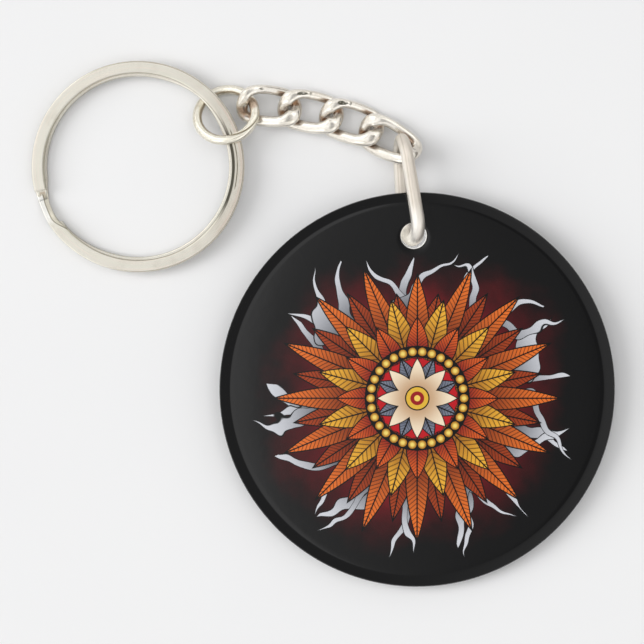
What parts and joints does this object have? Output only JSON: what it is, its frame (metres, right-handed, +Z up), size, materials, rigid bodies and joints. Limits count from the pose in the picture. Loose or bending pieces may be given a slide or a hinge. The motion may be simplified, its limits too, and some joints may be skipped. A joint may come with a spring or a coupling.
{
  "type": "keychain",
  "caption": "Keychain with a round black acrylic disc printed with an ornamental rosette, hung by an oval connector and a short curb chain from a split key ring.",
  "frame": {"origin": "centre of the bounding box, on the surface that the keychain lies on", "axes": "+X from the key ring towards the disc, along the longest extent; +Y towards the side that the chain leaves the disc on; +Z up from the surface"},
  "size_m": [0.0752, 0.0678, 0.0076],
  "materials": {
    "acrylic": "black acrylic with a glossy printed face",
    "nickel": "nickel-plated steel, polished wire and a smooth flat strip"
  },
  "bodies": {
    "root": {"acrylic_disc": "acrylic", "connector_ring": "nickel", "chain_link_1": "nickel", "chain_link_2": "nickel", "chain_link_3": "nickel", "chain_link_4": "nickel", "jump_ring": "nickel", "split_ring": "nickel"}
  },
  "joints": []
}
